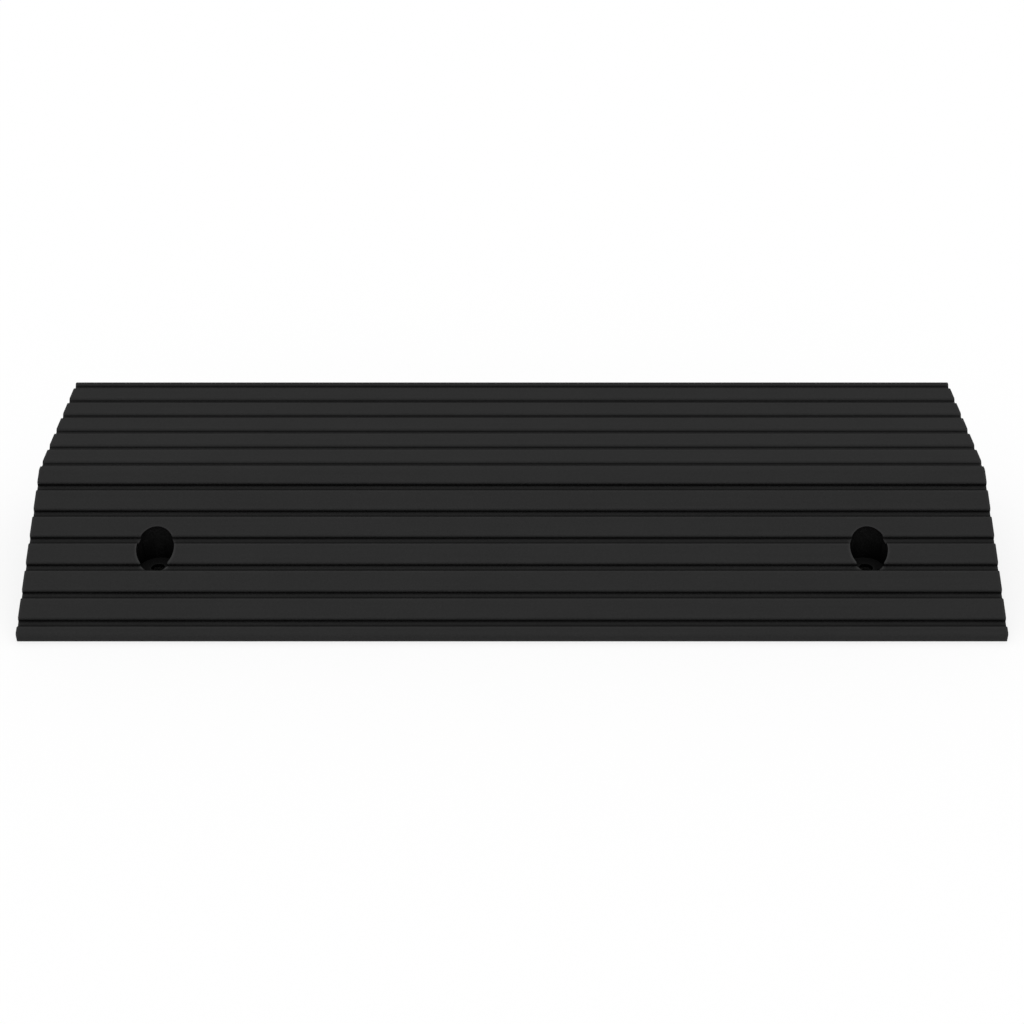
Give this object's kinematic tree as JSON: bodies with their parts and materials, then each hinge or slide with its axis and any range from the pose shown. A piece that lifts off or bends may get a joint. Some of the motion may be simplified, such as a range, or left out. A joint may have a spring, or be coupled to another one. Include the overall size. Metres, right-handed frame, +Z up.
{
  "type": "threshold ramp",
  "caption": "Ribbed black rubber threshold ramp with a steep front slope, a gently rising top, a cored underside and counterbored fixing holes with moulded-in steel inserts.",
  "frame": {"origin": "middle of the base, on the ground", "axes": "+X along the length of the ramp, +Y from the low front lip to the high back face, +Z up"},
  "size_m": [1, 0.32, 0.1367],
  "materials": {
    "black_rubber": "matte moulded rubber",
    "zinc_steel": "zinc plated"
  },
  "bodies": {
    "root": {"ramp_body": "black_rubber", "left_seat_plate": "zinc_steel", "right_seat_plate": "zinc_steel", "left_bolt_sleeve": "zinc_steel", "right_bolt_sleeve": "zinc_steel"}
  },
  "joints": []
}
